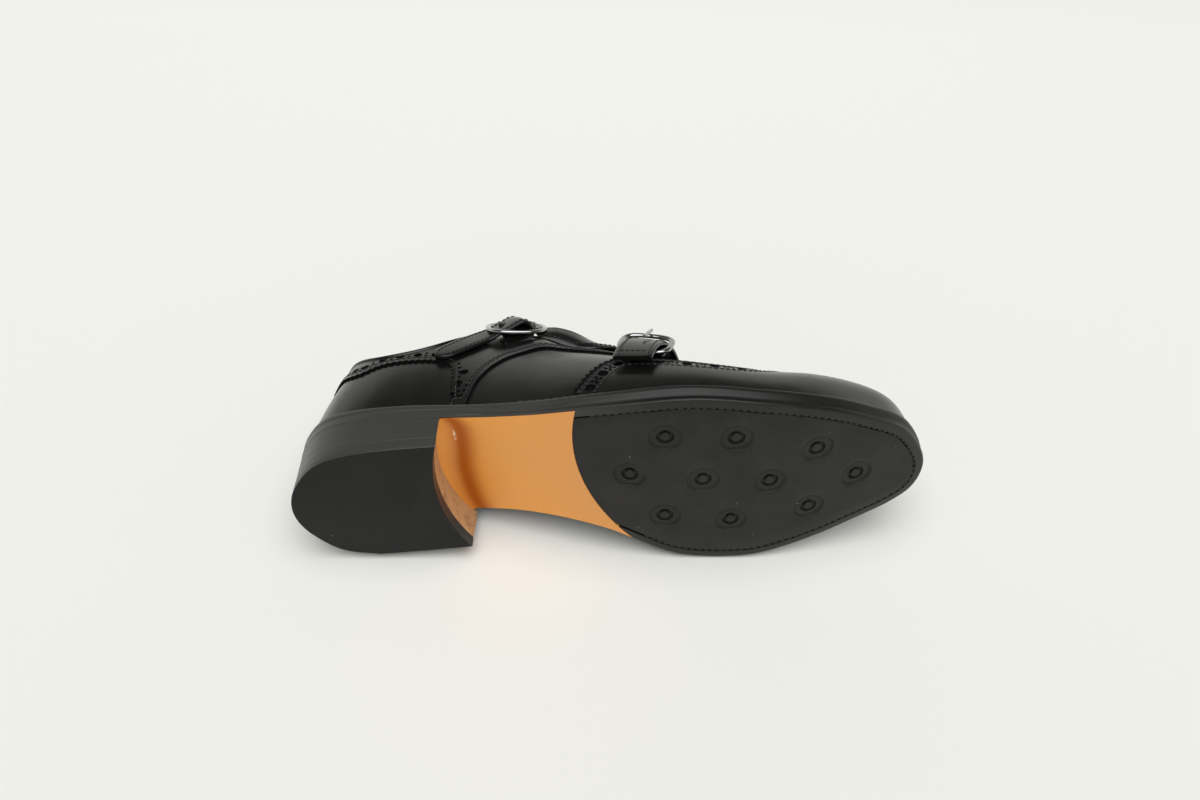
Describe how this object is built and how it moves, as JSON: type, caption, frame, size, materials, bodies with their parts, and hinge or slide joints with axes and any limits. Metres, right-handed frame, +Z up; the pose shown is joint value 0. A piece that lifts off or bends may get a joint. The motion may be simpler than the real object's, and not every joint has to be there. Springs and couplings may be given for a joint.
{
  "type": "buckled strap shoe",
  "caption": "Right black leather shoe with two buckled straps, punched wing-shaped toe piece, studded rubber half sole and low block heel, lying on its inner side.",
  "frame": {"origin": "centre of the footprint of the whole shoe, on the floor that it lies on", "axes": "+X from heel to toe, +Z up away from the floor, and the sole faces -Y; the inner side of the foot is down"},
  "size_m": [0.259, 0.0946, 0.0893],
  "materials": {
    "black_calf": "polished black calf",
    "black_edge": "waxed black leather edge",
    "sole_leather": "waxed tan sole leather",
    "lining_leather": "matte tan lining",
    "black_rubber": "matte rubber",
    "polished_metal": "polished plated steel"
  },
  "bodies": {
    "root": {"outsole": "sole_leather", "welt": "black_edge", "half_sole": "black_rubber", "heel_top_piece": "black_rubber", "heel_stack": "black_edge", "insole": "lining_leather", "upper": "black_calf", "wing_cap": "black_calf", "facing_lateral": "black_calf", "facing_medial": "black_calf", "tongue": "black_calf", "strap_front": "black_calf", "strap_rear": "black_calf", "chape_front": "black_calf", "buckle_front": "polished_metal", "buckle_rear": "polished_metal", "prong_front": "polished_metal"}
  },
  "joints": []
}
